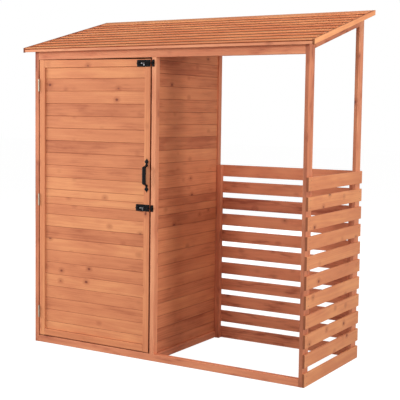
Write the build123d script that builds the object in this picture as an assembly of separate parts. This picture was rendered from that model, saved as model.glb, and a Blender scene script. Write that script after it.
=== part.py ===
from build123d import *
import os
from math import cos, radians, tan

os.makedirs("parts", exist_ok=True)

# Overall sizes in millimetres
body_width = 1667.0
body_depth = 682.0
cabinet_width = 806.0
header_underside = 1582.0
roof_front_height = 1645.0
roof_pitch_deg = 14.93
roof_side_overhang = 38.0
roof_front_overhang = 54.0
roof_rear_overhang = 28.0

# Timber sections
post_width = 27.0
post_depth = 34.0
upright_thickness = 20.0
upright_width = 64.0
sill_height = 37.0
header_depth = 34.0
rear_header_height = 58.0
rafter_height = 56.0
wall_thickness = 12.0
wall_recess = 9.0
roof_board_thickness = 10.0
fascia_thickness = 12.0
fascia_height = 14.0
barge_thickness = 12.0
barge_height = 26.0

# Slatted sides of the log bay
slat_count = 11
slat_height = 66.0
slat_thickness = 11.0
slat_panel_height = 1006.0
batten_width = 25.0
batten_depth = 28.0

# Door
door_gap_hinge = 5.0
door_gap_latch = 8.0
door_gap_top = 8.0
door_gap_bottom = 5.5
door_thickness = 22.0
stile_width = 37.0
rail_height = 37.0
door_panel_thickness = 10.0
door_panel_recess = 8.0

# Butt hinges
hinge_height = 66.0
hinge_end_inset = 132.0
hinge_leaf_thickness = 2.0
hinge_leaf_depth = 18.0
hinge_knuckle_radius = 3.4
hinge_pin_radius = 1.9
hinge_running_clearance = 0.1
hinge_knuckle_gap = 0.4
hinge_face_clearance = 0.5

# Slide bolts
bolt_plate_length = 84.0
bolt_plate_height = 36.0
bolt_plate_thickness = 2.0
bolt_plate_edge_inset = 1.0
bolt_rod_radius = 4.0
bolt_rod_lift = 0.8
bolt_rod_tip_inset = 1.0
bolt_running_clearance = 0.1
bolt_guide_width = 12.0
bolt_guide_wall = 2.5
bolt_guide_edge_inset = 2.0
bolt_travel = 20.0
bolt_knob_radius = 3.5
bolt_knob_length = 13.0
bolt_knob_clearance = 2.5
keeper_width = 14.0
keeper_edge_inset = 2.0
keeper_strap_thickness = 2.5
keeper_clearance = 0.8
upper_bolt_drop = 22.0
lower_bolt_height = 804.0

# Pull handle
handle_centre_height = 974.0
handle_length = 180.0
handle_spade_length = 36.0
handle_spade_width = 24.0
handle_spade_thickness = 2.5
handle_bar_width = 20.5
handle_bar_thickness = 7.0
handle_reach = 29.0
handle_leg_run = 10.0
# Half widths of a spade end as shares of its width, with places as shares of its length
spade_width_shares = (0.36, 0.30, 0.22, 0.40, 0.50, 0.42, 0.16, 0.04)
spade_place_shares = (0.0, 0.18, 0.32, 0.44, 0.56, 0.68, 0.88, 1.0)

# Places that follow from the sizes
pitch_rise = tan(radians(roof_pitch_deg))
roof_drop = roof_board_thickness / cos(radians(roof_pitch_deg))
left_x = -body_width / 2
right_x = body_width / 2
front_y = -(body_depth + roof_rear_overhang - roof_front_overhang) / 2
rear_y = front_y + body_depth
roof_front_y = front_y - roof_front_overhang
roof_rear_y = rear_y + roof_rear_overhang
roof_left_x = left_x - roof_side_overhang
roof_right_x = right_x + roof_side_overhang
middle_right_x = left_x + cabinet_width
middle_left_x = middle_right_x - post_width
upright_right_x = right_x - slat_thickness
upright_left_x = upright_right_x - upright_thickness
rear_post_y = rear_y - post_depth
slat_front_y = rear_y - slat_thickness
rear_header_y = rear_y - header_depth


def roof_top(y):
    """Height of the roof's upper surface at a depth."""
    return roof_front_height + (y - roof_front_y) * pitch_rise


def roof_under(y):
    """Height of the roof boards' underside at a depth."""
    return roof_top(y) - roof_drop


rear_header_underside = roof_under(rear_header_y) - rear_header_height


def block(x0, x1, y0, y1, z0, z1):
    """A straight timber or plate between two corners."""
    size = Box(x1 - x0, y1 - y0, z1 - z0, align=(Align.MIN, Align.MIN, Align.MIN))
    return Pos(x0, y0, z0) * size


def side_profile(x0, x1, outline):
    """A piece of one outline, given as depth and height, carried across from x0 to x1."""
    face = Plane.YZ * make_face(Polyline(*outline, close=True))
    return Pos(x0, 0, 0) * extrude(face, amount=x1 - x0)


def to_roof(x0, x1, y0, y1, z0, drop=0):
    """An upright piece whose top is cut to the slope of the roof, a drop below the boards."""
    outline = [(y0, z0), (y1, z0), (y1, roof_under(y1) - drop), (y0, roof_under(y0) - drop)]
    return side_profile(x0, x1, outline)


def along_roof(x0, x1, y0, y1, top, height):
    """A piece that lies along the slope of the roof under a given surface."""
    outline = [(y0, top(y0) - height), (y1, top(y1) - height), (y1, top(y1)), (y0, top(y0))]
    return side_profile(x0, x1, outline)


def rod_x(radius, x0, x1, y, z):
    """A round bar along the width."""
    bar = Cylinder(radius, x1 - x0, align=(Align.CENTER, Align.CENTER, Align.MIN))
    return Pos(x0, y, z) * Rot(0, 90, 0) * bar


def rod_z(radius, x, y, z0, z1):
    """A round bar standing upright."""
    bar = Cylinder(radius, z1 - z0, align=(Align.CENTER, Align.CENTER, Align.MIN))
    return Pos(x, y, z0) * bar


def rod_forward(radius, x, y, z, length):
    """A round bar that stands out towards the front."""
    bar = Cylinder(radius, length, align=(Align.CENTER, Align.CENTER, Align.MIN))
    return Pos(x, y, z) * Rot(90, 0, 0) * bar


parts = {}

# Posts and uprights
post_right_x = left_x + post_width
sill_rear_y = front_y + post_depth
upright_rear_y = front_y + upright_width
rear_upright_y = rear_y - upright_width
parts["front_left_post"] = to_roof(left_x, post_right_x, front_y, sill_rear_y, 0)
parts["rear_left_post"] = to_roof(left_x, post_right_x, rear_post_y, rear_y, 0)
parts["front_middle_post"] = block(
    middle_left_x, middle_right_x, front_y, sill_rear_y, sill_height, header_underside
)
parts["rear_middle_post"] = block(
    middle_left_x, middle_right_x, rear_post_y, rear_y, 0, rear_header_underside
)
parts["front_right_upright"] = to_roof(upright_left_x, upright_right_x, front_y, upright_rear_y, 0)
parts["rear_right_upright"] = to_roof(upright_left_x, upright_right_x, rear_upright_y, rear_y, 0)

# Sills on the ground
parts["front_sill"] = block(post_right_x, upright_left_x, front_y, sill_rear_y, 0, sill_height)
parts["left_sill"] = block(left_x, post_right_x, sill_rear_y, rear_post_y, 0, sill_height)
parts["partition_sill"] = block(
    middle_left_x, middle_right_x, sill_rear_y, rear_post_y, 0, sill_height
)
parts["rear_sill"] = block(post_right_x, middle_left_x, rear_post_y, rear_y, 0, sill_height)

# Headers and rafters
header_rear_y = front_y + header_depth
parts["front_header"] = to_roof(
    post_right_x, upright_left_x, front_y, header_rear_y, header_underside
)
parts["rear_header"] = to_roof(
    post_right_x, upright_left_x, rear_header_y, rear_y, rear_header_underside
)
parts["left_rafter"] = along_roof(
    left_x, post_right_x, sill_rear_y, rear_post_y, roof_under, rafter_height
)
parts["middle_rafter"] = along_roof(
    middle_left_x, middle_right_x, header_rear_y, rear_header_y, roof_under, rafter_height
)
parts["right_rafter"] = along_roof(
    upright_left_x, upright_right_x, upright_rear_y, rear_upright_y, roof_under, rafter_height
)

# Boarded walls of the cabinet
left_wall_x = left_x + wall_recess
partition_right_x = middle_right_x - wall_recess
rear_wall_rear_y = rear_y - wall_recess
parts["left_wall"] = to_roof(
    left_wall_x, left_wall_x + wall_thickness, sill_rear_y, rear_post_y, sill_height, rafter_height
)
parts["partition_wall"] = to_roof(
    partition_right_x - wall_thickness,
    partition_right_x,
    sill_rear_y,
    rear_post_y,
    sill_height,
    rafter_height,
)
parts["cabinet_rear_wall"] = block(
    post_right_x,
    middle_left_x,
    rear_wall_rear_y - wall_thickness,
    rear_wall_rear_y,
    sill_height,
    rear_header_underside,
)

# Slatted right side and slatted rear of the log bay
slat_pitch = (slat_panel_height - slat_height) / (slat_count - 1)
slat_bottoms = [index * slat_pitch for index in range(slat_count)]
parts["bay_right_slats"] = Compound(
    children=[
        block(upright_right_x, right_x, front_y, rear_y, z, z + slat_height) for z in slat_bottoms
    ]
)
parts["bay_rear_slats"] = Compound(
    children=[
        block(middle_right_x, upright_left_x, slat_front_y, rear_y, z, z + slat_height)
        for z in slat_bottoms
    ]
)
batten_y = slat_front_y - batten_depth
parts["bay_left_batten"] = block(
    middle_right_x, middle_right_x + batten_width, batten_y, slat_front_y, 0, slat_panel_height
)
parts["bay_right_batten"] = block(
    upright_left_x - batten_width, upright_left_x, batten_y, slat_front_y, 0, slat_panel_height
)

# Roof
barge_inner_left_x = roof_left_x + barge_thickness
barge_inner_right_x = roof_right_x - barge_thickness
parts["roof_deck"] = along_roof(
    barge_inner_left_x, barge_inner_right_x, roof_front_y, roof_rear_y, roof_top, roof_drop
)
parts["left_bargeboard"] = along_roof(
    roof_left_x, barge_inner_left_x, roof_front_y, roof_rear_y, roof_top, barge_height
)
parts["right_bargeboard"] = along_roof(
    barge_inner_right_x, roof_right_x, roof_front_y, roof_rear_y, roof_top, barge_height
)
front_fascia_y = roof_front_y + fascia_thickness
rear_fascia_y = roof_rear_y - fascia_thickness
parts["front_fascia"] = along_roof(
    barge_inner_left_x, barge_inner_right_x, roof_front_y, front_fascia_y, roof_under, fascia_height
)
parts["rear_fascia"] = along_roof(
    barge_inner_left_x, barge_inner_right_x, rear_fascia_y, roof_rear_y, roof_under, fascia_height
)

# Door frame and its boarded panel
door_left_x = post_right_x + door_gap_hinge
door_right_x = middle_left_x - door_gap_latch
door_bottom = sill_height + door_gap_bottom
door_top = header_underside - door_gap_top
door_rear_y = front_y + door_thickness
panel_left_x = door_left_x + stile_width
panel_right_x = door_right_x - stile_width
panel_front_y = front_y + door_panel_recess
parts["door_left_stile"] = block(
    door_left_x, panel_left_x, front_y, door_rear_y, door_bottom, door_top
)
parts["door_right_stile"] = block(
    panel_right_x, door_right_x, front_y, door_rear_y, door_bottom, door_top
)
parts["door_top_rail"] = block(
    panel_left_x, panel_right_x, front_y, door_rear_y, door_top - rail_height, door_top
)
parts["door_bottom_rail"] = block(
    panel_left_x, panel_right_x, front_y, door_rear_y, door_bottom, door_bottom + rail_height
)
parts["door_panel"] = block(
    panel_left_x,
    panel_right_x,
    panel_front_y,
    panel_front_y + door_panel_thickness,
    door_bottom + rail_height,
    door_top - rail_height,
)

# Butt hinges: the post leaf carries the pin and two end knuckles, the door leaf the middle one
pin_x = (post_right_x + door_left_x) / 2
pin_y = front_y - hinge_knuckle_radius - hinge_face_clearance
hinge_heights = [
    door_bottom + hinge_end_inset,
    (door_bottom + door_top) / 2,
    door_top - hinge_end_inset,
]
knuckle_height = hinge_height / 3


def hinge_post_leaf(z):
    """The leaf on the post, with its pin and its two knuckles, at a centre height."""
    low = z - hinge_height / 2
    high = z + hinge_height / 2
    leaf_x = post_right_x + hinge_leaf_thickness
    leaf = block(post_right_x, leaf_x, front_y, front_y + hinge_leaf_depth, low, high)
    leaf += rod_z(hinge_pin_radius, pin_x, pin_y, low, high)
    for z0, z1 in ((low, low + knuckle_height), (high - knuckle_height, high)):
        leaf += rod_z(hinge_knuckle_radius, pin_x, pin_y, z0, z1)
        leaf += block(post_right_x, leaf_x, pin_y, front_y, z0, z1)
    return leaf


def hinge_door_leaf(z):
    """The leaf on the door, with the middle knuckle that turns on the pin."""
    low = z - hinge_height / 2
    high = z + hinge_height / 2
    z0 = low + knuckle_height + hinge_knuckle_gap
    z1 = high - knuckle_height - hinge_knuckle_gap
    leaf_x = door_left_x - hinge_leaf_thickness
    leaf = block(leaf_x, door_left_x, front_y, front_y + hinge_leaf_depth, low, high)
    leaf += block(leaf_x, door_left_x, pin_y, front_y, z0, z1)
    leaf += rod_z(hinge_knuckle_radius, pin_x, pin_y, z0, z1)
    leaf -= rod_z(hinge_pin_radius + hinge_running_clearance, pin_x, pin_y, z0, z1)
    return leaf


parts["hinge_post_leaves"] = Compound(children=[hinge_post_leaf(z) for z in hinge_heights])
parts["hinge_door_leaves"] = Compound(children=[hinge_door_leaf(z) for z in hinge_heights])

# Slide bolts, shown drawn back: plate and guides on the door, keeper on the middle post
plate_right_x = door_right_x - bolt_plate_edge_inset
plate_left_x = plate_right_x - bolt_plate_length
plate_front_y = front_y - bolt_plate_thickness
rod_y = plate_front_y - bolt_rod_lift - bolt_rod_radius
guide_half = bolt_rod_radius + bolt_running_clearance + bolt_guide_wall
rod_left_x = plate_left_x + bolt_guide_edge_inset
rod_right_x = plate_right_x - bolt_rod_tip_inset
right_guide_x = plate_right_x - bolt_guide_edge_inset - bolt_guide_width
knob_x = right_guide_x - bolt_knob_clearance - bolt_travel - bolt_knob_radius
left_guide_x = knob_x - bolt_knob_radius - bolt_knob_clearance - bolt_guide_width
keeper_left_x = middle_left_x + keeper_edge_inset
keeper_right_x = keeper_left_x + keeper_width
bolt_heights = {"upper": door_top - upper_bolt_drop, "lower": lower_bolt_height}


def bolt_plate(z):
    """The plate on the door with two bored guides for the rod."""
    low = z - bolt_plate_height / 2
    plate = block(plate_left_x, plate_right_x, plate_front_y, front_y, low, low + bolt_plate_height)
    for x in (left_guide_x, right_guide_x):
        plate += block(
            x, x + bolt_guide_width, rod_y - guide_half, plate_front_y, z - guide_half, z + guide_half
        )
    bore = bolt_rod_radius + bolt_running_clearance
    return plate - rod_x(bore, plate_left_x, plate_right_x, rod_y, z)


def bolt_keeper(z):
    """The keeper on the middle post: a plate and a strap that the rod slides into."""
    low = z - bolt_plate_height / 2
    half = bolt_rod_radius + keeper_clearance
    outer = half + keeper_strap_thickness
    keeper = block(
        keeper_left_x, keeper_right_x, plate_front_y, front_y, low, low + bolt_plate_height
    )
    keeper += block(
        keeper_left_x, keeper_right_x, rod_y - outer, plate_front_y, z - outer, z + outer
    )
    slot = block(keeper_left_x, keeper_right_x, rod_y - half, plate_front_y, z - half, z + half)
    return keeper - slot


def bolt_rod(z):
    """The sliding rod with its knob."""
    rod = rod_x(bolt_rod_radius, rod_left_x, rod_right_x, rod_y, z)
    return rod + rod_forward(bolt_knob_radius, knob_x, rod_y, z, bolt_knob_length)


for place, z in bolt_heights.items():
    parts[place + "_bolt_plate"] = bolt_plate(z)
    parts[place + "_bolt_keeper"] = bolt_keeper(z)
    parts[place + "_bolt_rod"] = bolt_rod(z)

# Pull handle on the right stile
handle_x = (panel_right_x + door_right_x) / 2
handle_half = handle_length / 2
inner_leg_half = handle_half - handle_spade_length
leg_half = inner_leg_half + handle_bar_thickness
grip_half = leg_half - handle_leg_run
inner_grip_half = inner_leg_half - handle_leg_run
reach_y = front_y - handle_reach
inner_y = reach_y + handle_bar_thickness
handle = side_profile(
    handle_x - handle_bar_width / 2,
    handle_x + handle_bar_width / 2,
    [
        (front_y, handle_centre_height - leg_half),
        (reach_y, handle_centre_height - grip_half),
        (reach_y, handle_centre_height + grip_half),
        (front_y, handle_centre_height + leg_half),
        (front_y, handle_centre_height + inner_leg_half),
        (inner_y, handle_centre_height + inner_grip_half),
        (inner_y, handle_centre_height - inner_grip_half),
        (front_y, handle_centre_height - inner_leg_half),
    ],
)
spade_points = [
    (handle_spade_width * wide, handle_spade_length * place)
    for wide, place in zip(spade_width_shares, spade_place_shares)
]
for side in (-1, 1):
    outline = [(handle_x + wide, side * (inner_leg_half + place)) for wide, place in spade_points]
    outline += [(handle_x - wide, side * (inner_leg_half + place)) for wide, place in spade_points[::-1]]
    face = make_face(Polyline(*outline, close=True))
    spade = extrude(Plane.XZ * face, amount=handle_spade_thickness)
    handle += Pos(0, front_y, handle_centre_height) * spade
parts["door_handle"] = handle

for name, shape in parts.items():
    export_step(shape, "parts/" + name + ".step")
    print(name, round(shape.volume), [round(v, 1) for v in shape.bounding_box().size])
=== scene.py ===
# %% [markdown]
# # A log store with a closed cabinet
# One sloping roof covers two rooms: a cabinet with a boarded door on the left, and an open bay with slatted
# sides on the right, where logs can dry. Sizes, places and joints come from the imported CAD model, which is
# loaded first and never moved. Every timber is then built again in the same place, with the soft edges,
# the grain and the uneven stain that plain CAD solids lack.

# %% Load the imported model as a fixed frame
import math

import bpy
import numpy as np
from mathutils import Matrix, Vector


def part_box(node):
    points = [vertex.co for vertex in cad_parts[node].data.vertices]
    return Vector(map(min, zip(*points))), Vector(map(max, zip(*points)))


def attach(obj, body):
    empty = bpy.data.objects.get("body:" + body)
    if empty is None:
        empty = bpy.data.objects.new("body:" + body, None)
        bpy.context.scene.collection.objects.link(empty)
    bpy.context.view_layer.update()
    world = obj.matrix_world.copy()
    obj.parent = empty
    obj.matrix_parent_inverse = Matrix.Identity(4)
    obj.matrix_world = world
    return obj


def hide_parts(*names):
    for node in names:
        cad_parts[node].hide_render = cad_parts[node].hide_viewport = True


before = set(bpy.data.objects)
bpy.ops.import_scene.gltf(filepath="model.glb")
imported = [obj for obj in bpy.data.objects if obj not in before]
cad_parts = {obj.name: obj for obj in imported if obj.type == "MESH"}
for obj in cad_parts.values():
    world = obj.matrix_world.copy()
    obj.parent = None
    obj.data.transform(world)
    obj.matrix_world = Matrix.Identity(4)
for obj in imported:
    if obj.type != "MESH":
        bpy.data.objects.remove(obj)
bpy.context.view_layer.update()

# %% [markdown]
# ## Camera
# The store is seen from its front right corner, from a little below the roof, through a long lens that keeps
# the posts nearly parallel. A focal length counted in pixels becomes millimetres through the sensor: lens =
# pixels x sensor width / image width. The place and the three angles are written out rather than found with
# a tracking constraint, because a constraint can't hold the slight roll of a hand-held picture.

# %% Place the camera
def placed(name, data):
    """A new object, linked into the scene."""
    obj = bpy.data.objects.new(name, data)
    bpy.context.scene.collection.objects.link(obj)
    return obj


image_width = 400
sensor_width = 36.0
focal_pixels = 941.9
camera_place = np.array([2.6514, -4.3686, 1.3011])
azimuth, elevation, roll = np.radians([31.31, 4.68, 0.75])
lens_centre = (191.8, 189.9)

forward = np.array([
    -math.sin(azimuth) * math.cos(elevation),
    math.cos(azimuth) * math.cos(elevation),
    -math.sin(elevation),
])
level_right = np.array([math.cos(azimuth), math.sin(azimuth), 0.0])
level_up = np.cross(level_right, forward)
right = math.cos(roll) * level_right + math.sin(roll) * level_up
up = math.cos(roll) * level_up - math.sin(roll) * level_right

camera_data = bpy.data.cameras.new("photo_camera")
camera_data.sensor_fit = "HORIZONTAL"
camera_data.sensor_width = sensor_width
camera_data.lens = focal_pixels * sensor_width / image_width
camera_data.shift_x = 0.5 - lens_centre[0] / image_width
camera_data.shift_y = lens_centre[1] / image_width - 0.5
camera = placed("photo_camera", camera_data)
camera.matrix_world = Matrix([
    [right[axis], up[axis], -forward[axis], camera_place[axis]] for axis in range(3)
] + [[0, 0, 0, 1]])
bpy.context.scene.camera = camera
bpy.context.scene.view_settings.view_transform = "Standard"
print("lens, mm:", round(camera_data.lens, 2))

# %% [markdown]
# ## Node helpers
# Every finish below is a small graph of shader nodes. Three helpers keep the graphs readable: one makes a
# node and fills or links its inputs in order, one does arithmetic, and one blends two colours.

# %% Helpers for shader nodes
def node(tree, kind, inputs=(), output=0, **settings):
    """Adds one node. Each input is a constant or another node's output; the chosen output is returned."""
    made = tree.nodes.new(kind)
    for name, value in settings.items():
        setattr(made, name, value)
    for socket, value in zip(made.inputs, inputs):
        if isinstance(value, bpy.types.NodeSocket):
            tree.links.new(value, socket)
        elif value is not None:
            socket.default_value = value
    return made.outputs[output]


def maths(tree, operation, *values):
    """One arithmetic step on numbers that change over the surface."""
    return node(tree, "ShaderNodeMath", values, operation=operation)


def fade(tree, value, low, high, start=0.0, end=1.0):
    """A smooth step: start below low, end above high, and an S curve between them."""
    inputs = (value, low, high, start, end)
    return node(tree, "ShaderNodeMapRange", inputs, interpolation_type="SMOOTHSTEP")


def blend(tree, factor, first, second):
    """Mixes two colours; the colour sockets of a Mix node sit at places six and seven."""
    inputs = (factor, None, None, None, None, None, first, second)
    return node(tree, "ShaderNodeMix", inputs, 2, data_type="RGBA")


def new_material(name):
    """An empty material with its output node, and a Principled shader linked to it."""
    material = bpy.data.materials.new(name)
    material.use_nodes = True
    return material, material.node_tree, material.node_tree.nodes["Principled BSDF"]


print("node helpers ready")

# %% [markdown]
# ## Floor and backdrop
# The store stands on a white studio floor that melts into a white backdrop. A floor lit to pure white would
# also flood the timber with light from below, so the floor shows white to the camera through the Light Path
# node, and lights the object only as a grey matt surface. A small share of its true shading stays in, which
# keeps a faint shadow under the sills. A weak, even sky fills the shade.

# %% Build the floor and the sky
def seen_directly(tree):
    """One for camera, mirror and see-through rays, nought for the rays that carry light."""
    path = tree.nodes.new("ShaderNodeLightPath").outputs
    mirrored = maths(tree, "MAXIMUM", path["Is Glossy Ray"], path["Is Transmission Ray"])
    return maths(tree, "MAXIMUM", path["Is Camera Ray"], mirrored)


white = (1, 1, 1, 1)
floor_half = 30.0
floor_greys = ((0.28, 0.28, 0.28, 1), (0.32, 0.32, 0.32, 1))
floor_mottle = 0.6
floor_roughness = 0.9
floor_shade = (0.2, 0.2, 0.2, 1)
white_glow = 0.96
floor_mesh = bpy.data.meshes.new("studio_floor")
floor_corners = [(-floor_half, -floor_half, 0), (floor_half, -floor_half, 0)]
floor_corners += [(floor_half, floor_half, 0), (-floor_half, floor_half, 0)]
floor_mesh.from_pydata(floor_corners, [], [(0, 1, 2, 3)])
floor = placed("studio_floor", floor_mesh)

floor_material, tree, shader = new_material("studio_white")
shader.inputs["Roughness"].default_value = floor_roughness
shader.inputs["Specular IOR Level"].default_value = 0.0
place = node(tree, "ShaderNodeTexCoord", output=3)
mottle = node(tree, "ShaderNodeTexNoise", (place, None, floor_mottle))
tree.links.new(blend(tree, mottle, *floor_greys), shader.inputs["Base Color"])
glow = node(tree, "ShaderNodeEmission", (white, white_glow))
shade = node(tree, "ShaderNodeBsdfDiffuse", (floor_shade,))
shown = node(tree, "ShaderNodeAddShader", (glow, shade))
surface = node(tree, "ShaderNodeMixShader", (seen_directly(tree), shader.outputs[0], shown))
tree.links.new(surface, tree.nodes["Material Output"].inputs["Surface"])
floor_mesh.materials.append(floor_material)

sky_level = 0.17
sky_tint = (1.0, 0.985, 0.965, 1)
world = bpy.data.worlds.new("studio_sky")
world.use_nodes = True
bpy.context.scene.world = world
tree = world.node_tree
lighting = node(tree, "ShaderNodeBackground", (sky_tint, sky_level))
backdrop = node(tree, "ShaderNodeBackground", (white, 1.0))
surface = node(tree, "ShaderNodeMixShader", (seen_directly(tree), lighting, backdrop))
tree.links.new(surface, tree.nodes["World Output"].inputs["Surface"])

print("floor and sky ready, sky level:", sky_level)

# %% [markdown]
# ## Soft lamps
# Lamps with a wide round face throw soft shadows, as cloth-covered studio lamps do. The widest stands far to
# the left. Weaker ones in front and to the right light the door and the slatted side, and leave the log bay
# the darkest place. One hangs over the roof's right end, and one behind lights the rear. Area lamps are used
# rather than a picture of a studio, so that each can be moved and dimmed.

# %% Hang the soft lamps
lamp_aim = np.array([0.0, 0.0, 0.9])


def soft_lamp(name, azimuth, elevation, size, watts, distance=6.2, mirrored=True):
    """A round lamp at a compass angle from the front, turned so that its own -Z axis meets the aim.

    A lamp that is not mirrored leaves no glare on polished or flatly seen surfaces.
    """
    azimuth, elevation = math.radians(azimuth), math.radians(elevation)
    back = np.array([
        math.sin(azimuth) * math.cos(elevation),
        -math.cos(azimuth) * math.cos(elevation),
        math.sin(elevation),
    ])
    side = np.cross((0, 0, 1), back) / math.cos(elevation)
    over = np.cross(back, side)
    place = lamp_aim + distance * back
    lamp = bpy.data.lights.new(name, "AREA")
    lamp.shape = "DISK"
    lamp.size = size
    lamp.energy = watts
    obj = placed(name, lamp)
    obj.matrix_world = Matrix([[side[a], over[a], back[a], place[a]] for a in range(3)] + [[0, 0, 0, 1]])
    obj.visible_glossy = mirrored
    print(name, "at", place.round(2), "watts:", watts)


soft_lamp("front_lamp", -9, 12, 1.2, 63, 5.0)
soft_lamp("fill_lamp", 22, 12, 1.2, 25, 5.0, mirrored=False)
soft_lamp("left_lamp", -66, 12, 3.4, 300)
soft_lamp("right_lamp", 77.5, 11, 0.9, 86, 4.6)
soft_lamp("high_lamp", 78, 55, 1.2, 36, 3.8)
soft_lamp("rear_lamp", 202, 12, 2.4, 165, mirrored=False)

# %% [markdown]
# ## The grain of stained fir
# Each stick of wood carries its own solid grain, as if sawn from a log: growth rings are cylinders round a
# pith line, so the pattern is a sine of the distance from that line, bent by noise. Long thin noise gives
# the fibres, wide noise the uneven stain, and the cells of a Voronoi pattern the knots. The coordinates come
# from an attribute that each board stores, so the rings run along every board and never line up between
# two of them. An image would stretch and repeat; this works at any size. It is a node group because posts,
# boards and roof all share it.

# %% Open the grain group and give it sockets
grain_group = bpy.data.node_groups.new("stained_grain", "ShaderNodeTree")
grain_inputs = {
    "Grain": "Vector", "Tone": "Float", "Joint": "Float", "End cut": "Float", "Mottle": "Float",
    "Knots": "Float", "Pale": "Color", "Middle": "Color", "Deep": "Color",
}
grain_outputs = {"Colour": "Color", "Roughness": "Float", "Height": "Float"}
for label, kind in grain_inputs.items():
    grain_group.interface.new_socket(label, in_out="INPUT", socket_type="NodeSocket" + kind)
for label, kind in grain_outputs.items():
    grain_group.interface.new_socket(label, in_out="OUTPUT", socket_type="NodeSocket" + kind)


def stretched_noise(tree, grain, along, across, detail=2.0):
    """Noise drawn out along the wood: along and across say how many waves fit in a metre."""
    scaled = node(tree, "ShaderNodeVectorMath", (grain, (along, across, across)), operation="MULTIPLY")
    return node(tree, "ShaderNodeTexNoise", (scaled, None, 1.0, detail))


print("grain sockets:", len(grain_inputs), "in,", len(grain_outputs), "out")

# %% Draw knots and growth rings in the group
knot_cell = 0.103
knot_stretch = (0.75, 1.0, 1.0)
knot_radius = 0.0084
knot_edges = (knot_radius * 0.5, knot_radius * 1.1)
halo_edges = (knot_radius * 0.8, knot_radius * 3.0)
ring_width = 0.0085
ring_bend, knot_bend = 0.034, 0.006

tree = grain_group
given = tree.nodes.new("NodeGroupInput").outputs
grain = given["Grain"]
knot_space = node(tree, "ShaderNodeVectorMath", (grain, knot_stretch), operation="MULTIPLY")
cells = node(tree, "ShaderNodeTexVoronoi", (knot_space, None, 1.0 / knot_cell))
knot_distance = maths(tree, "MULTIPLY", cells, knot_cell)
knot = fade(tree, knot_distance, *knot_edges, 1.0, 0.0)
halo = fade(tree, knot_distance, *halo_edges, 1.0, 0.0)

bend = stretched_noise(tree, grain, 1.7, 11.0)
from_pith = node(tree, "ShaderNodeVectorMath", (grain, (0.0, 1.0, 1.0)), operation="MULTIPLY")
radius = node(tree, "ShaderNodeVectorMath", (from_pith,), 1, operation="LENGTH")
radius = maths(tree, "MULTIPLY_ADD", bend, ring_bend, radius)
radius = maths(tree, "MULTIPLY_ADD", halo, knot_bend, radius)
ring = maths(tree, "SINE", maths(tree, "MULTIPLY", radius, 2 * math.pi / ring_width))
print("knot radius, mm:", 1000 * knot_radius, "ring width, mm:", 1000 * ring_width)

# %% [markdown]
# ### How deep the stain lies
# Stain soaks into open grain and stays off hard grain, so its depth is one number from deep to pale. Rings,
# streaks, fibres and wide clouds each push that number a little up or down, the board adds a lightness of its
# own, and blotches take some away. Two blends turn the number into colour; knots, joints and sawn ends are
# then laid over it. Adding up one number first keeps the three stain colours in step.

# %% Mix the stain in the group
knot_brown = (0.17, 0.042, 0.027, 1)
joint_and_shade_brown = (0.165, 0.042, 0.025, 1)
end_brown = (0.19, 0.055, 0.027, 1)
fine_edges = (0.25, 0.75)
wide_edges = (0.3, 0.7)
blotch_edges = (0.48, 0.78)
middle_level, ring_swing = 0.55, 0.045
streak_swing, fibre_swing, cloud_swing = 0.08, 0.06, 0.13
pale_edges, deep_edges = (0.45, 1.0), (-0.05, 0.55)
knot_share, halo_share, end_share = 0.8, 0.5, 0.8
rough_range = (0.5, 0.68)
fibre_height, ring_height = 0.6, 0.25

streak = stretched_noise(tree, grain, 1.3, 55.0, 3.0)
fibre = stretched_noise(tree, grain, 9.0, 520.0, 3.0)
cloud = stretched_noise(tree, grain, 3.2, 9.0)
blotch = stretched_noise(tree, grain, 8.0, 34.0, 4.0)

level = maths(tree, "MULTIPLY_ADD", ring, ring_swing, middle_level)
level = maths(tree, "ADD", level, fade(tree, streak, *fine_edges, -streak_swing, streak_swing))
level = maths(tree, "ADD", level, fade(tree, fibre, *fine_edges, -fibre_swing, fibre_swing))
level = maths(tree, "ADD", level, fade(tree, cloud, *wide_edges, -cloud_swing, cloud_swing))
level = maths(tree, "ADD", level, given["Tone"])
soaked = maths(tree, "MULTIPLY", fade(tree, blotch, *blotch_edges), given["Mottle"])
level = maths(tree, "SUBTRACT", level, soaked)
stain = blend(tree, fade(tree, level, *pale_edges), given["Middle"], given["Pale"])
stain = blend(tree, fade(tree, level, *deep_edges, 1.0, 0.0), stain, given["Deep"])
knot_depth = maths(tree, "MULTIPLY", given["Knots"], knot_share)
halo_depth = maths(tree, "MULTIPLY", given["Knots"], halo_share)
stain = blend(tree, maths(tree, "MULTIPLY", halo, halo_depth), stain, given["Deep"])
stain = blend(tree, maths(tree, "MULTIPLY", knot, knot_depth), stain, knot_brown)
# Joint blends towards a dark brown. In the boards' V joints this is dark stain; in the gaps round the door,
# on the fascia and under the roof laps it is painted shade.
stain = blend(tree, given["Joint"], stain, joint_and_shade_brown)
stain = blend(tree, maths(tree, "MULTIPLY", given["End cut"], end_share), stain, end_brown)

rough = fade(tree, fibre, *wide_edges, *rough_range)
height = maths(tree, "MULTIPLY_ADD", fibre, fibre_height, maths(tree, "MULTIPLY", ring, ring_height))
made = tree.nodes.new("NodeGroupOutput").inputs
for label, value in (("Colour", stain), ("Roughness", rough), ("Height", height)):
    tree.links.new(value, made[label])
print("grain group nodes:", len(grain_group.nodes))

# %% [markdown]
# ## Wood finishes
# Three finishes share that grain: the square timbers, which took the stain in red blotches, the boards,
# whose joints gather dark stain, and the roof boards, which carry painted shade towards the board that
# laps over them.
# Each reads the attributes that its boards store: where the wood's own grain runs, how light the board is,
# how near a joint lies, and which faces are sawn ends. Stored values stay with a board as the door swings.

# %% Make the wood finishes
grain_relief = 0.0006
relief_strength = 0.5
# Painted shade on the roof boards: where it starts and where it is full, as shares of a board's face, and how
# dark it gets.
roof_lap_painted_shade = (0.08, 0.62, 0.58)


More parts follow.
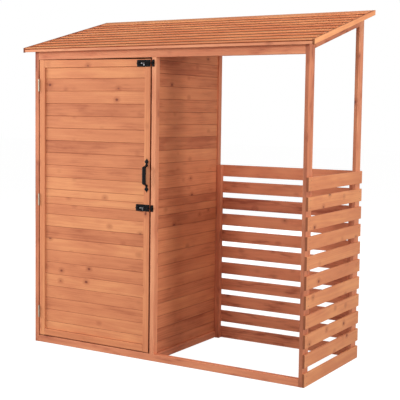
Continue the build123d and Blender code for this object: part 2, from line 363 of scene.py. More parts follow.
def wood_finish(name, pale, middle, deep, mottle, knots, sheen, lap=None):
    """A matt stained wood from the shared grain: three stain colours, how blotchy it is, how dark its knots.

    lap gives the two places, as shares of a lapped board's face, between which the painted shade of the next
    board deepens, and how deep it gets; without it the joint mask is used as stored.
    """
    material, tree, shader = new_material(name)
    shader.inputs["Specular IOR Level"].default_value = sheen
    board = node(tree, "ShaderNodeAttribute", output=1, attribute_name="board")
    parts = tree.nodes.new("ShaderNodeSeparateXYZ")
    tree.links.new(board, parts.inputs[0])
    tone, joint = parts.outputs[0], parts.outputs[1]
    if lap:
        joint = fade(tree, joint, lap[0], lap[1], 0.0, lap[2])
    wood = tree.nodes.new("ShaderNodeGroup")
    wood.node_tree = grain_group
    wood.inputs["Mottle"].default_value = mottle
    wood.inputs["Knots"].default_value = knots
    for label, colour in (("Pale", pale), ("Middle", middle), ("Deep", deep)):
        wood.inputs[label].default_value = (*colour, 1)
    grain = node(tree, "ShaderNodeAttribute", output=1, attribute_name="grain")
    end_cut = node(tree, "ShaderNodeAttribute", output=2, attribute_name="end_cut")
    for label, value in (("Grain", grain), ("Tone", tone), ("Joint", joint), ("End cut", end_cut)):
        tree.links.new(value, wood.inputs[label])
    tree.links.new(wood.outputs["Colour"], shader.inputs["Base Color"])
    tree.links.new(wood.outputs["Roughness"], shader.inputs["Roughness"])
    relief = tree.nodes.new("ShaderNodeBump")
    relief.inputs["Strength"].default_value = relief_strength
    relief.inputs["Distance"].default_value = grain_relief
    tree.links.new(wood.outputs["Height"], relief.inputs["Height"])
    tree.links.new(relief.outputs[0], shader.inputs["Normal"])
    return material


timber_finish = wood_finish(
    "timber_stain", (0.87, 0.37, 0.195), (0.71, 0.258, 0.135), (0.37, 0.102, 0.057), 0.38, 1.0, 0.12
)
board_finish = wood_finish(
    "board_stain", (0.87, 0.37, 0.165), (0.71, 0.257, 0.12), (0.43, 0.122, 0.058), 0.16, 1.0, 0.12
)
roof_finish = wood_finish(
    "roof_stain", (0.97, 0.45, 0.205), (0.79, 0.285, 0.132), (0.42, 0.115, 0.056), 0.14, 0.3, 0.02,
    roof_lap_painted_shade,
)
print("wood finishes:", timber_finish.name, board_finish.name, roof_finish.name)

# %% [markdown]
# ## One way to make every stick of wood
# A post, a board and a roof board are all the same thing: four corners at one end, four corners at the other,
# and a rounded outline carried between them. Giving the corners directly lets one function make square ends,
# ends cut to the roof's slope, and tapered boards. The whole stack of sticks is worked out as one array, and
# each stick gets its own slice of grain, its own lightness and a mark on its sawn ends.

# %% Helper that carries a rounded outline along many sticks at once
outline_corner = np.repeat(np.arange(4), 3)
soft = 1 - math.sqrt(0.5)
outline_offset = np.array([
    (0, 1), (soft, soft), (1, 0), (-1, 0), (-soft, soft), (0, 1),
    (0, -1), (-soft, -soft), (-1, 0), (1, 0), (soft, -soft), (0, -1),
])
joint_mask = np.array([1, 0.6, 0, 0, 0.6, 1, 1, 0.6, 0, 0, 0.6, 1])
outline_count = len(outline_corner)
grain_starts = (0, 40)
pith_shifts = (-0.06, 0.06)
pith_depths = (0.02, 0.09)


def unit(vectors):
    """Each vector divided by its own length."""
    return vectors / np.linalg.norm(vectors, axis=-1, keepdims=True)


def sticks(name, ends, arris, tone, edge, mask=joint_mask):
    """Sticks of wood as one mesh.

    ends holds, for each stick, two end faces of four corners each, in the order round the end. A point of
    the outline is a corner plus the arris radius times an offset along the end's two edges, and straight
    faces join the two outlines. Grain runs from the first end, across the width and through the depth.
    tone and edge are each a range: how light a stick is, and how dark the points marked by mask are.
    """
    ends = np.asarray(ends, float)
    count = len(ends)
    random = np.random.default_rng(sum(map(ord, name)))
    wide = ends[:, :, 1] - ends[:, :, 0]
    deep = ends[:, :, 3] - ends[:, :, 0]
    run = ends[:, 1].mean(axis=1) - ends[:, 0].mean(axis=1)
    offsets = outline_offset[:, :1] * unit(wide)[:, :, None] + outline_offset[:, 1:] * unit(deep)[:, :, None]
    points = ends[:, :, outline_corner] + arris * offsets

    width = np.linalg.norm(wide, axis=-1).mean(axis=1)[:, None]
    depth = np.linalg.norm(deep, axis=-1).mean(axis=1)[:, None]
    across = np.isin(outline_corner, (1, 2)) * width + arris * outline_offset[:, 0]
    through = np.isin(outline_corner, (2, 3)) * depth + arris * outline_offset[:, 1]
    length = np.linalg.norm(run, axis=-1)[:, None, None]
    start = random.uniform(*grain_starts, (count, 1, 1))
    pith_across = random.uniform(*pith_shifts, (count, 1)) - width / 2
    pith_through = random.uniform(*pith_depths, (count, 1))
    grain = np.empty(points.shape)
    grain[..., 0] = np.array([0, 1])[:, None] * length + start
    grain[..., 1] = (across + pith_across)[:, None]
    grain[..., 2] = (through + pith_through)[:, None]
    board = np.zeros(points.shape)
    board[..., 0] = random.uniform(*tone, (count, 1, 1))
    board[..., 1] = mask * random.uniform(*edge, (count, 1, 1))

    ring = np.arange(outline_count)
    after = np.roll(ring, -1)
    first = np.arange(count)[:, None, None] * 2 * outline_count
    sides = first + np.stack([ring, after, after + outline_count, ring + outline_count], -1)
    caps = first + np.stack([ring[::-1], ring + outline_count])
    turned = np.einsum("ij,ij->i", np.cross(wide[:, 0], deep[:, 0]), run) < 0
    sides[turned] = sides[turned][..., ::-1]
    caps[turned] = caps[turned][..., ::-1]

    mesh = bpy.data.meshes.new(name)
    faces = sides.reshape(-1, 4).tolist() + caps.reshape(-1, outline_count).tolist()
    mesh.from_pydata(points.reshape(-1, 3), [], faces)
    mesh.attributes.new("grain", "FLOAT_VECTOR", "POINT").data.foreach_set("vector", grain.ravel())
    mesh.attributes.new("board", "FLOAT_VECTOR", "POINT").data.foreach_set("vector", board.ravel())
    sawn = np.repeat([0.0, 1.0], [sides.size // 4, 2 * count])
    mesh.attributes.new("end_cut", "FLOAT", "FACE").data.foreach_set("value", sawn)
    return placed(name, mesh)


def fit(obj, finish, slot, body, *nodes):
    """Gives a piece its finish, lets it ride a body, and hides the CAD nodes it stands for. slot is not used.
    """
    obj.data.materials.append(finish)
    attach(obj, body)
    if nodes:
        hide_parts(*nodes)
    return obj


print("stick helper ready, points round one outline:", outline_count)

# %% [markdown]
# ## Square timbers
# Posts, uprights, sills, headers, rafters, battens, edge boards and the door's frame are straight lengths
# with planed faces and soft edges. Their corners are read off the CAD model, so a post keeps the slope that
# is cut on its top. The grain runs along the longest side. The door hangs a little low at its latch, so the
# gap over it widens from the hinges to the latch; only the corners of its top edge are lifted for that.

# %% Build the square timbers from their CAD corners
timber_arris = 0.0022


def cad_ends(name, run, wide):
    """The eight corners of a straight CAD timber as two end faces along axis run, each in order round it."""
    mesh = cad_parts[name].data
    places = np.empty(3 * len(mesh.vertices))
    mesh.vertices.foreach_get("co", places)
    corners = np.unique(places.reshape(-1, 3).round(5), axis=0)
    assert len(corners) == 8, (name, len(corners))
    corners = corners[np.argsort(corners[:, run], kind="stable")].reshape(2, 4, 3)
    deep = 3 - run - wide
    above = corners > corners.mean(axis=1, keepdims=True)
    order = np.where(above[..., deep], 3 - above[..., wide], above[..., wide]).argsort(axis=1)
    return np.take_along_axis(corners, order[..., None], axis=1)


door_rise = 0.0065
same_height = 1e-4
hinge_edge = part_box("door_left_stile")[0][0]
latch_edge, _, door_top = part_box("door_right_stile")[1]


def sagged(ends):
    """Lifts corners on the door's top edge by door_rise at the hinges, evenly less towards the latch."""
    share = (latch_edge - ends[..., 0]) / (latch_edge - hinge_edge)
    on_top = np.isclose(ends[..., 2], door_top, atol=same_height)
    lifted = ends.copy()
    lifted[..., 2] += np.where(on_top, door_rise * share, 0.0)
    return lifted


# The third number darkens the faces marked by the joint mask. On the door's stiles and rails it is painted
# shade on the faces that look into the gaps round the door. On the fascia's top and bottom faces it is a
# little painted shade under the eaves.
timber_sets = [
    (0, 2, 0.0, timber_finish, ["front_sill", "rear_sill", "front_header", "rear_header"]),
    (0, 2, 0.2, timber_finish, ["front_fascia", "rear_fascia"]),
    (0, 2, 0.3, board_finish, ["door_top_rail", "door_bottom_rail"]),
    (1, 2, 0.0, timber_finish, ["left_sill", "partition_sill"]),
    (1, 2, 0.0, timber_finish, ["left_rafter", "middle_rafter", "right_rafter"]),
    (1, 2, 0.6, roof_finish, ["left_bargeboard", "right_bargeboard"]),
    (2, 0, 0.0, timber_finish, ["front_left_post", "rear_left_post"]),
    (2, 0, 0.0, timber_finish, ["front_middle_post", "rear_middle_post"]),
    (2, 0, 0.0, timber_finish, ["bay_left_batten", "bay_right_batten"]),
    (2, 1, 0.3, timber_finish, ["front_right_upright", "rear_right_upright"]),
    (2, 0, 0.3, board_finish, ["door_left_stile"]),
    (2, 0, 0.7, board_finish, ["door_right_stile"]),
]
# Each timber's own lightness. Two of them stand in for light: the right rafter, recessed under the barge
# board, is painted darker as shade, and the front header is painted lighter as painted light.
timber_tones_and_shade = {
    "front_left_post": -0.26, "front_middle_post": 0.3, "rear_middle_post": -0.1, "bay_left_batten": -0.14,
    "bay_right_batten": -0.2, "rear_right_upright": 0.12, "front_sill": -0.06, "right_rafter": -0.15,
    "front_header": 0.14, "front_right_upright": -0.1, "left_bargeboard": -0.3, "right_bargeboard": 0.25,
    "front_fascia": 0.2, "door_top_rail": 0.12, "door_left_stile": 0.16, "door_right_stile": 0.02,
}
tone_spread = 0.04
for run, wide, edge, finish, names in timber_sets:
    for name in names:
        body = "door" if name.startswith("door") else "frame"
        tone = timber_tones_and_shade.get(name, 0.0)
        tones = (tone - tone_spread, tone + tone_spread)
        ends = cad_ends(name, run, wide)
        ends = sagged(ends) if body == "door" else ends
        timber = sticks(name + "_timber", [ends], timber_arris, tones, (edge, edge))
        fit(timber, finish, "stained_wood", body, name)
print("square timbers:", sum(len(names) for *_, names in timber_sets))

# %% [markdown]
# ## Boarded walls
# The cabinet is clad with narrow boards that meet in small V joints. Half way up, two boards are sawn narrow,
# where an upper and a lower panel were joined. The boards are the same sticks, laid one above the other;
# their rounded edges make the joints. Under the sloping rafters each board is cut to the slope, so the two
# end faces are found by asking where the slope crosses the board's lower and upper edge.

# %% Helpers that lay boards one above the other
board_cover = 0.0667
board_arris = 0.0026
least_board = 0.004
wall_widths = [0.058] + 10 * [board_cover] + [0.041, 0.043, 0.0566] + 16 * [board_cover]


def courses(bottom, top, widths):
    """Lower and upper heights of boards stacked from bottom, the last one trimmed to top."""
    edges = bottom + np.concatenate([[0], np.cumsum(widths)])
    lower, upper = edges[:-1], np.minimum(edges[1:], top)
    kept = lower < top - least_board
    return lower[kept], upper[kept]


def board_ends(near, far, lower, upper, along, through):
    """End faces of stacked boards.

    near and far give, for each board, where it starts and stops along its run at its lower and at its upper
    edge. through is the pair of planes that bound its thickness, across the remaining axis.
    """
    across = 1 - along
    ends = np.empty((len(lower), 2, 4, 3))
    for end, reach in enumerate((near, far)):
        ends[:, end, :, along] = np.stack([reach[0], reach[1], reach[1], reach[0]], -1)
        ends[:, end, :, 2] = np.stack([lower, upper, upper, lower], -1)
        ends[:, end, :2, across] = through[0]
        ends[:, end, 2:, across] = through[1]
    return ends


def level_boards(name, lower, upper, along):
    """End faces of boards that run from one end of a CAD slab to the other and fill its thickness."""
    low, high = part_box(name)
    across = 1 - along
    start, stop = np.full(len(lower), low[along]), np.full(len(lower), high[along])
    return board_ends((start, start), (stop, stop), lower, upper, along, (low[across], high[across]))


def side_wall(name):
    """Boards of a wall that runs from front to rear and is cut to the rafter's slope at its top.

    The board that meets the rafter's lowest point stays square and runs up inside the rafter.
    """
    low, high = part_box(name)
    corners = cad_ends(name, 1, 2)
    top_front, top_rear = corners[0, :, 2].max(), corners[1, :, 2].max()
    lower, upper = courses(low[2], top_rear, wall_widths)
    slope = (high[1] - low[1]) / (top_rear - top_front)
    square = lower < top_front
    lower_start = np.where(square, low[1], low[1] + (lower - top_front) * slope)
    upper_start = np.where(square, low[1], low[1] + (upper - top_front) * slope)
    upper_start = np.minimum(upper_start, high[1] - least_board)
    stop = np.full(len(lower), high[1])
    return board_ends((lower_start, upper_start), (stop, stop), lower, upper, 1, (low[0], high[0]))


print("board helpers ready, cover, mm:", 1000 * board_cover)

# %% Board the cabinet's walls
board_tones = (-0.2, 0.24)
# The partition's boards face into the log bay and get darker tones: painted shade of the bay.
painted_shade_tones = (-0.28, 0.12)
joint_depths = (0.28, 0.6)
for name, tones in (("left_wall", board_tones), ("partition_wall", painted_shade_tones)):
    ends = side_wall(name)
    boards = sticks(name + "_boards", ends, board_arris, tones, joint_depths)
    fit(boards, board_finish, "stained_boards", "frame", name)
    print(name, "boards:", len(ends))

low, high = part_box("cabinet_rear_wall")
ends = level_boards("cabinet_rear_wall", *courses(low[2], high[2], wall_widths), 0)
rear_boards = sticks("cabinet_rear_boards", ends, board_arris, board_tones, joint_depths)
fit(rear_boards, board_finish, "stained_boards", "frame", "cabinet_rear_wall")
print("cabinet rear boards:", len(ends))

# %% [markdown]
# ## Door boards
# The door's frame holds boards of the same kind, again with a narrow pair near the middle. They ride on the
# door's body, so they swing with it.

# %% Build the door boards
door_widths = [0.0455] + 9 * [0.0672] + [0.0572, 0.041, 0.041] + 9 * [0.0676] + [0.0625]
low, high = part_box("door_panel")
ends = level_boards("door_panel", *courses(low[2], high[2], door_widths), 0)
door_boards = sticks("door_boards", ends, board_arris, board_tones, joint_depths)
fit(door_boards, board_finish, "stained_boards", "door", "door_panel")
print("door boards:", len(ends))

# %% [markdown]
# ## Slats of the log bay
# The right side and the rear of the bay are eleven flat slats each, with gaps that let air through. They are
# single planks with eased edges, spaced evenly from the lowest to the highest, so one array of heights
# places them all. The rear ones are painted a little darker, as shade in the bay.

# %% Build the slats
slat_count = 11
slat_height = 0.066
slat_arris = 0.0022
# The rear slats' lower tones are painted shade of the bay; the right slats' tones are their own lightness.
slat_tones_and_shade = {"bay_right_slats": (0.04, 0.22), "bay_rear_slats": (-0.22, 0.02)}
slat_edges = (0.1, 0.3)
for name, along in (("bay_right_slats", 1), ("bay_rear_slats", 0)):
    low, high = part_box(name)
    lower = np.linspace(low[2], high[2] - slat_height, slat_count)
    ends = level_boards(name, lower, lower + slat_height, along)
    slats = sticks(name + "_planks", ends, slat_arris, slat_tones_and_shade[name], slat_edges)
    finish = board_finish if along else timber_finish
    fit(slats, finish, "stained_wood", "frame", name)
    print(name, "planks:", len(ends))

# %% [markdown]
# ## Lapped roof boards
# Ten feather-edged boards lie across the slope. Each is thick along its lower edge, which shows as a small
# step with a narrow dark gap under it, and thin where the next board laps over it. The lowest board stands a
# little clear of the fascia, so a shadow line runs along the eaves. Worked out in two directions, up the
# slope and square to it, the four corners of a board are a few sums; all ten come from one array.

# %% Build the roof boards
roof_board_count = 10
roof_lap = 0.012
roof_step = 0.0085
roof_arris = 0.0012
roof_tones = (-0.05, 0.15)
lap_painted_shade_depths = (0.9, 1.0)
ridge_margin = 0.0005
roof_shadow = 0.0012
eaves_shadow = 0.0045
low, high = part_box("roof_deck")
corners = cad_ends("roof_deck", 0, 1)[0]
eaves = corners[np.lexsort((-corners[:, 2], corners[:, 1]))][0]
ridge = corners[np.lexsort((-corners[:, 2], -corners[:, 1]))][0]
up_slope = unit(ridge - eaves)
off_slope = np.cross((1, 0, 0), up_slope)
slope_length = np.linalg.norm(ridge - eaves)
plumb = corners[:, 2].max() - corners[corners[:, 1] == corners[:, 1].max(), 2].min()
roof_thickness = plumb * off_slope[2]

exposure = slope_length / roof_board_count
lower = np.arange(roof_board_count) * exposure
upper = np.minimum(lower + exposure + roof_lap, slope_length)
fall = roof_step / exposure
lower_under = np.full(roof_board_count, roof_shadow - roof_step)
lower_under[0] = eaves_shadow - roof_thickness
upper_top = -fall * (upper - lower)
upper_top[-1] = 0.0
section = np.empty((roof_board_count, 4, 2))
section[:, 0] = np.stack([lower, lower_under], -1)
section[:, 1] = np.stack([upper, np.full(roof_board_count, -roof_thickness)], -1)
section[:, 2] = np.stack([upper, upper_top], -1)
section[:, 3] = np.stack([lower, np.zeros(roof_board_count)], -1)
cut = eaves + section[..., :1] * up_slope + section[..., 1:] * off_slope
cut[..., 1] = np.clip(cut[..., 1], low[1], high[1] - ridge_margin)
ends = np.repeat(cut[:, None], 2, axis=1)
ends[:, 0, :, 0], ends[:, 1, :, 0] = low[0], high[0]
# Each board but the highest is painted darker up its face towards the board that laps over it: painted shade
# of the lap.
lap_painted_shade_mask = np.isin(outline_corner, (1, 2)).astype(float)
lapped = (np.arange(roof_board_count) < roof_board_count - 1)[:, None, None]
shades = [depth * lapped for depth in lap_painted_shade_depths]
roof_boards = sticks("roof_boards", ends, roof_arris, roof_tones, shades, lap_painted_shade_mask)
fit(roof_boards, roof_finish, "roof_boards", "frame", "roof_deck")
print("roof boards:", len(ends), "exposure, mm:", round(1000 * exposure, 1))

# %% [markdown]
# ## Metal finishes
# The hinges are dull zinc. The handle, the bolt plates and the rods are black lacquer over steel, and the
# sleeve and lever that a hand touches are worn bright. Nail heads took the stain with the wood. Metal is
# never one flat colour, so a fine noise varies the polish, and a wider one the tint.

# %% Make the metal finishes
tint_waves, speck_waves = 90.0, 900.0
metal_relief = 0.0003
metal_relief_strength = 0.15


def metal_finish(name, dark, light, metallic, polish, sheen):
    """A coated metal: noise on Object coordinates mixes two tints and two degrees of polish."""
    material, tree, shader = new_material(name)
    shader.inputs["Metallic"].default_value = metallic
    shader.inputs["Specular IOR Level"].default_value = sheen
    place = node(tree, "ShaderNodeTexCoord", output=3)
    cloud = node(tree, "ShaderNodeTexNoise", (place, None, tint_waves, 4.0))
    speck = node(tree, "ShaderNodeTexNoise", (place, None, speck_waves))
    tint = blend(tree, fade(tree, cloud, *wide_edges), (*dark, 1), (*light, 1))
    tree.links.new(tint, shader.inputs["Base Color"])
    tree.links.new(fade(tree, speck, *wide_edges, *polish), shader.inputs["Roughness"])
    relief = tree.nodes.new("ShaderNodeBump")
    relief.inputs["Strength"].default_value = metal_relief_strength
    relief.inputs["Distance"].default_value = metal_relief
    tree.links.new(speck, relief.inputs["Height"])
    tree.links.new(relief.outputs[0], shader.inputs["Normal"])
    return material


zinc_finish = metal_finish("dull_zinc", (0.30, 0.26, 0.20), (0.42, 0.37, 0.29), 1.0, (0.45, 0.6), 0.5)
black_finish = metal_finish(
    "black_lacquer", (0.003, 0.003, 0.004), (0.007, 0.007, 0.008), 0.0, (0.2, 0.32), 0.1
)
worn_finish = metal_finish("worn_steel", (0.075, 0.075, 0.08), (0.21, 0.21, 0.22), 1.0, (0.28, 0.4), 0.5)
nail_finish = metal_finish("stained_nail", (0.22, 0.10, 0.055), (0.34, 0.16, 0.085), 0.0, (0.4, 0.6), 0.3)
print("metal finishes:", zinc_finish.name, black_finish.name, worn_finish.name, nail_finish.name)

# %% [markdown]
# ## One way to make every bar of metal
# A handle, a bolt and a strap are each a rounded section carried along a path, only with different widths on
# the way. The section is a superellipse, which runs from a circle at power two to a soft rectangle at higher
# powers. Several bars can go into one mesh, as the real parts are riveted or pressed together.

# %% Helper that carries a section along a path
around = 20


def bar(path, side, width, thickness, power=2.0):
    """Points, side faces and end faces of one bar.

    At each place on the path, side is the unit direction of the width, and the thickness lies square to the
    side and the path. The section is side * width / 2 * c + normal * thickness / 2 * s, where c and s are
    the cosine and sine of the turn, each raised to 2 / power with its sign kept.
    """
    path = np.asarray(path, float)
    turn = np.linspace(0, 2 * np.pi, around, endpoint=False)
    c = np.sign(np.cos(turn)) * np.abs(np.cos(turn)) ** (2 / power)
    s = np.sign(np.sin(turn)) * np.abs(np.sin(turn)) ** (2 / power)
    side = unit(np.broadcast_to(np.asarray(side, float), path.shape))
    normal = unit(np.cross(unit(np.gradient(path, axis=0)), side))
    half_width = np.broadcast_to(np.asarray(width) / 2, len(path))[:, None, None]
    half_thickness = np.broadcast_to(np.asarray(thickness) / 2, len(path))[:, None, None]
    points = path[:, None] + half_width * c[:, None] * side[:, None]
    points = points + half_thickness * s[:, None] * normal[:, None]
    ring = np.arange(around)
    step = np.arange(len(path) - 1)[:, None] * around
    after = np.roll(ring, -1)
    faces = np.stack([step + ring, step + after, step + after + around, step + ring + around], -1)
    caps = np.stack([ring[::-1], ring + (len(path) - 1) * around])
    return points.reshape(-1, 3), faces.reshape(-1, 4), caps


def metal_piece(name, bars):
    """One mesh from several bars, with their faces counted on from each other; only the ends stay flat."""
    points, sides, caps = zip(*bars)
    first = np.cumsum([0] + [len(part) for part in points])
    sides = np.concatenate([part + start for part, start in zip(sides, first)])
    caps = np.concatenate([part + start for part, start in zip(caps, first)])
    mesh = bpy.data.meshes.new(name)
    mesh.from_pydata(np.concatenate(points), [], sides.tolist() + caps.tolist())
    mesh.polygons.foreach_set("use_smooth", np.repeat([True, False], [len(sides), len(caps)]))
    return placed(name, mesh)


def rounded_end(reach, radius):
    """Half width lost near an end of a rounded shape: radius - sqrt(radius^2 - (radius - reach)^2)."""
    inside = np.clip(radius - reach, 0, radius)
    return radius - np.sqrt(radius ** 2 - inside ** 2)


print("metal helper ready, points round one section:", around)

# %% [markdown]
# ## Pull handle
# The handle is forged in one length: a spade with a pointed tip, a waist, a leg that leaves the door, a flat
# grip, and the same again below. Its centre line is a function of height, and so are its width and thickness.
# Between a few key heights an S curve keeps every swell and waist soft.

# %% Build the pull handle
handle_low, handle_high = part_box("door_handle")
door_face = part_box("door_right_stile")[0][1]
handle_centre = (handle_low + handle_high) / 2
handle_reach = door_face - handle_low[1]
grip_end, foot, waist, swell, tip = 0.041, 0.053, 0.060, 0.071, 0.0900
handle_keys = (0, grip_end, foot, waist, swell, tip)
handle_widths = (0.0235, 0.0235, 0.0165, 0.0105, 0.0238, 0.0006)
handle_depths = (0.007, 0.007, 0.0055, 0.004, 0.0055, 0.0012)
handle_power = 3.0
fine_steps, handle_steps = 2001, 120


def eased(place, keys, values):
    """Values at key places joined by S curves, flat at every key."""
    index = np.clip(np.searchsorted(keys, place) - 1, 0, len(keys) - 2)
    keys, values = np.asarray(keys), np.asarray(values)
    share = np.clip((place - keys[index]) / (keys[index + 1] - keys[index]), 0, 1)
    return values[index] + (values[index + 1] - values[index]) * share * share * (3 - 2 * share)


height = np.linspace(-tip, tip, fine_steps)
width = eased(np.abs(height), handle_keys, handle_widths)
thickness = eased(np.abs(height), handle_keys, handle_depths)
lifted = eased(np.abs(height), (0, grip_end, foot, tip), (1, 1, 0, 0))
out = thickness / 2 + lifted * (handle_reach - handle_depths[0])
line = np.stack([np.zeros(height.shape), -out, height], -1)
travelled = np.concatenate([[0], np.cumsum(np.linalg.norm(np.diff(line, axis=0), axis=1))])
stops = np.linspace(0, travelled[-1], handle_steps)
line = np.stack([np.interp(stops, travelled, line[:, axis]) for axis in range(3)], -1)
line += (handle_centre[0], door_face, handle_centre[2])
width, thickness = np.interp(stops, travelled, width), np.interp(stops, travelled, thickness)
handle = metal_piece("door_handle_forged", [bar(line, (1, 0, 0), width, thickness, handle_power)])
fit(handle, black_finish, "black_steel", "door", "door_handle")
print("handle length, mm:", round(2000 * tip), "reach, mm:", round(1000 * handle_reach))

# %% [markdown]
# ## Slide bolts
# Each bolt is a stamped plate with two straps that hold a round rod, and a keeper on the middle post takes
# the rod when it is shot. A sleeve with a short bent lever moves it. Plate, strap, rod and lever are each a
# section carried along a path, so the metal helper makes them all. Rod, sleeve and lever ride the rod's own
# body, the plate rides the door and the keeper stays on the frame.

# %% Helpers for the parts of a bolt
plate_thickness = 0.002
strap_thickness = 0.002
corner_radius = 0.004
rod_radius = 0.004
sleeve_width = 0.0083
lever_radius = 0.0016
lever_bend = 0.005
lever_drop = 0.0095
blunt_end = 0.0004
plate_power, strap_power = 10.0, 8.0
plate_steps, strap_steps, rod_steps, bend_steps, drop_steps = 25, 17, 33, 12, 9


def stamped_plate(x0, x1, z0, z1):
    """A flat plate on the door face with rounded corners, swept upwards."""
    z = z0 + (z1 - z0) * (1 - np.cos(np.linspace(0, np.pi, plate_steps))) / 2
    lost = rounded_end(np.minimum(z - z0, z1 - z), corner_radius)
    middle_y = door_face - plate_thickness / 2
    path = np.stack([np.full(z.shape, (x0 + x1) / 2), np.full(z.shape, middle_y), z], -1)
    return bar(path, (1, 0, 0), x1 - x0 - 2 * lost, plate_thickness, plate_power)


def strap(x0, x1, rod_y, z, reach):
    """A band over the rod: up one side, a half turn of radius reach about the rod, and down the other."""
    turn = np.linspace(-np.pi / 2, np.pi / 2, strap_steps)
    foot_y = [door_face - plate_thickness]
    y = np.concatenate([foot_y, rod_y - reach * np.cos(turn), foot_y])
    rise = np.concatenate([[-reach], reach * np.sin(turn), [reach]])
    path = np.stack([np.full(y.shape, (x0 + x1) / 2), y, z + rise], -1)
    return bar(path, (1, 0, 0), x1 - x0, strap_thickness, strap_power)


def bolt_rod(x0, x1, rod_y, z):
    """A round rod with domed ends."""
    x = x0 + (x1 - x0) * (1 - np.cos(np.linspace(0, np.pi, rod_steps))) / 2
    lost = rounded_end(np.minimum(x - x0, x1 - x), rod_radius)
    path = np.stack([x, np.full(x.shape, rod_y), np.full(x.shape, z)], -1)
    thick = np.maximum(2 * (rod_radius - lost), blunt_end)
    return bar(path, (0, 0, 1), thick, thick)


def bolt_lever(x0, knob_x, rod_y, z):
    """A sleeve on the rod from x0 on, and a lever that leaves it forwards and bends down a quarter turn."""
    ends = np.array([x0, knob_x + lever_radius])
    path = np.stack([ends, np.full(2, rod_y), np.full(2, z)], -1)
    sleeve = bar(path, (0, 0, 1), sleeve_width, sleeve_width)
    turn = np.linspace(0, np.pi / 2, bend_steps)
    fall_on = lever_bend + np.linspace(0, lever_drop, drop_steps)[1:]
    straight_y = np.full(len(fall_on), rod_y - lever_bend)
    forward_y = np.concatenate([rod_y - lever_bend * np.sin(turn), straight_y])
    drop = np.concatenate([lever_bend * (1 - np.cos(turn)), fall_on])
    lever = np.stack([np.full(drop.shape, knob_x), forward_y, z - drop], -1)
    lost = rounded_end(drop[-1] - drop, lever_radius)
    lever_thick = np.maximum(2 * (lever_radius - lost), blunt_end)
    return [sleeve, bar(lever, (1, 0, 0), lever_thick, lever_thick)]


print("bolt helpers ready, rod radius, mm:", 1000 * rod_radius)

# %% Build both bolts from their CAD boxes
rear_strap = (0.010, 0.024)
front_strap = (0.0085, 0.0005)
lever_shift = 0.0095
rod_tip = 0.007
rod_play = 0.0003
keeper_play = 0.0006
keeper_margin = 0.001
plate_screws = (0.007, 0.020)
screw_rise = 0.0135
screw_places = []
for place in ("upper", "lower"):
    low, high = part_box(place + "_bolt_plate")
    rod_low, rod_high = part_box(place + "_bolt_rod")
    keeper_low, keeper_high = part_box(place + "_bolt_keeper")
    z = (low[2] + high[2]) / 2
    rod_y = rod_high[1] - rod_radius
    knob_x = (low[0] + high[0]) / 2 + lever_shift
    reach = rod_radius + rod_play + strap_thickness / 2
    plate_bars = [stamped_plate(low[0], high[0], low[2], high[2])]
    plate_bars.append(strap(low[0] + rear_strap[0], low[0] + rear_strap[1], rod_y, z, reach))
    plate_bars.append(strap(high[0] - front_strap[0], high[0] - front_strap[1], rod_y, z, reach))
    plate = metal_piece(place + "_bolt_plate_stamped", plate_bars)
    fit(plate, black_finish, "black_steel", "door", place + "_bolt_plate")
    rod = metal_piece(place + "_bolt_rod_turned", [bolt_rod(rod_low[0], rod_high[0] + rod_tip, rod_y, z)])
    fit(rod, black_finish, "black_steel", place + "_bolt", place + "_bolt_rod")
    lever = metal_piece(place + "_bolt_lever_worn", bolt_lever(low[0] + rear_strap[1], knob_x, rod_y, z))
    fit(lever, worn_finish, "black_steel", place + "_bolt")
    keeper_bars = [stamped_plate(keeper_low[0], keeper_high[0], keeper_low[2], keeper_high[2])]
    strap_ends = (keeper_low[0] + keeper_margin, keeper_high[0] - keeper_margin)
    keeper_bars.append(strap(*strap_ends, rod_y, z, reach + keeper_play))
    keeper = metal_piece(place + "_bolt_keeper_stamped", keeper_bars)
    fit(keeper, black_finish, "black_steel", "frame", place + "_bolt_keeper")
    keeper_x = (keeper_low[0] + keeper_high[0]) / 2
    plate_x = (low[0] + plate_screws[0], high[0] - plate_screws[1])
    for body, x in (("door", plate_x[0]), ("door", plate_x[1]), ("frame", keeper_x)):
        screw_places += [(body, (x, door_face - plate_thickness, z + side * screw_rise)) for side in (-1, 1)]
print("bolts: 2, screw places:", len(screw_places))

# %% [markdown]
# ## Hinges
# Three zinc butt hinges carry the door. Their leaves lie between door and post, so only the knuckles show.
# The CAD solids already have the leaves, the knuckles and the pin, so they stay and only get the zinc finish.

# %% Finish the hinges
for name in ("hinge_post_leaves", "hinge_door_leaves"):
    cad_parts[name].data.materials.clear()
    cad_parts[name].data.materials.append(zinc_finish)
print("hinge nodes finished: 2")

# %% [markdown]
# ## Screws and nails
# Slats are held by two nails at each end, and the roof boards by a row of nails over each rafter. A nail head
# is a shallow dome: a small grid of rings and turns. All heads that look one way are made as a single array
# of domes, far cheaper than hundreds of separate objects.

# %% Helper for nail and screw heads
dome_turns, dome_rings = 10, 3
dome_top = 0.25
any_other_way = (0.3, 0.5, 0.81)


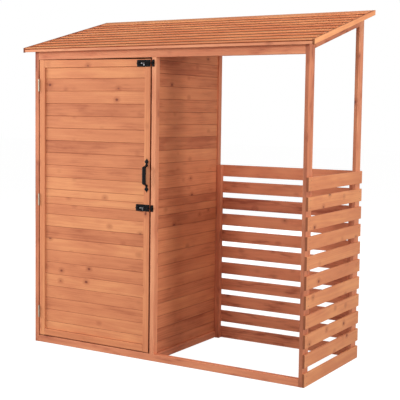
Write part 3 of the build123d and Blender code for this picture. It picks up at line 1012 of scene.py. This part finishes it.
def domes(name, places, out, radius, height):
    """Domes at many places, facing out.

    A point is its place plus radius * sin(a) along the turn b, plus height * cos(a) along out.
    """
    places, out = np.asarray(places, float), unit(np.asarray(out, float))
    across = unit(np.cross(out, any_other_way))
    other = np.cross(out, across)
    rise = np.linspace(np.pi / 2, dome_top, dome_rings)[:, None, None]
    turn = np.linspace(0, 2 * np.pi, dome_turns, endpoint=False)[None, :, None]
    round_part = radius * np.sin(rise) * (np.cos(turn) * across + np.sin(turn) * other)
    points = places[:, None, None] + (round_part + height * np.cos(rise) * out)
    ring = np.arange(dome_turns)
    step = np.arange(dome_rings - 1)[:, None] * dome_turns
    after = np.roll(ring, -1)
    sides = np.stack([step + ring, step + after, step + after + dome_turns, step + ring + dome_turns], -1)
    first = np.arange(len(places))[:, None, None] * dome_rings * dome_turns
    sides = (sides.reshape(1, -1, 4) + first).reshape(-1, 4)
    tops = (ring + (dome_rings - 1) * dome_turns + first[:, 0]).tolist()
    mesh = bpy.data.meshes.new(name)
    mesh.from_pydata(points.reshape(-1, 3), [], sides.tolist() + tops)
    return placed(name, mesh)


print("dome helper ready, points in one head:", dome_turns * dome_rings)

# %% Place the nail and screw heads
nail_radius, nail_height = 0.0022, 0.0005
screw_radius, screw_height = 0.0032, 0.0014
nail_pair = 0.018
side_inset, rear_inset, roof_inset = 0.03, 0.0125, 0.03
low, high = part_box("bay_right_slats")
middles = np.linspace(low[2], high[2] - slat_height, slat_count) + slat_height / 2
lines = (low[1] + side_inset, high[1] - side_inset)
rows = [(high[0], y, z + side * nail_pair) for y in lines for z in middles for side in (-1, 1)]
right_nails = domes("right_slat_nails", rows, (1, 0, 0), nail_radius, nail_height)
fit(right_nails, nail_finish, "zinc_steel", "frame")
low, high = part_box("bay_rear_slats")
lines = (low[0] + rear_inset, high[0] - rear_inset)
rows = [(x, high[1], z + side * nail_pair) for x in lines for z in middles for side in (-1, 1)]
rear_nails = domes("rear_slat_nails", rows, (0, 1, 0), nail_radius, nail_height)
fit(rear_nails, nail_finish, "zinc_steel", "frame")
print("slat nails:", 2 * len(rows))

rafters = ("left_rafter", "middle_rafter", "right_rafter")
rafter_lines = [sum(corner[0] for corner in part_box(name)) / 2 for name in rafters]
along_slope = np.arange(roof_board_count) * exposure + roof_inset
roof_rows = eaves + along_slope[:, None] * up_slope - (fall * roof_inset) * off_slope
roof_places = np.repeat(roof_rows[:, None], len(rafter_lines), axis=1)
roof_places[..., 0] = rafter_lines
roof_nails = domes("roof_nails", roof_places.reshape(-1, 3), off_slope, nail_radius, nail_height)
fit(roof_nails, nail_finish, "zinc_steel", "frame")
for body in ("door", "frame"):
    places = [place for rider, place in screw_places if rider == body]
    screws = domes(body + "_bolt_screws", places, (0, -1, 0), screw_radius, screw_height)
    fit(screws, black_finish, "black_steel", body)
print("roof nails:", len(roof_places) * len(rafter_lines), "bolt screws:", len(screw_places))
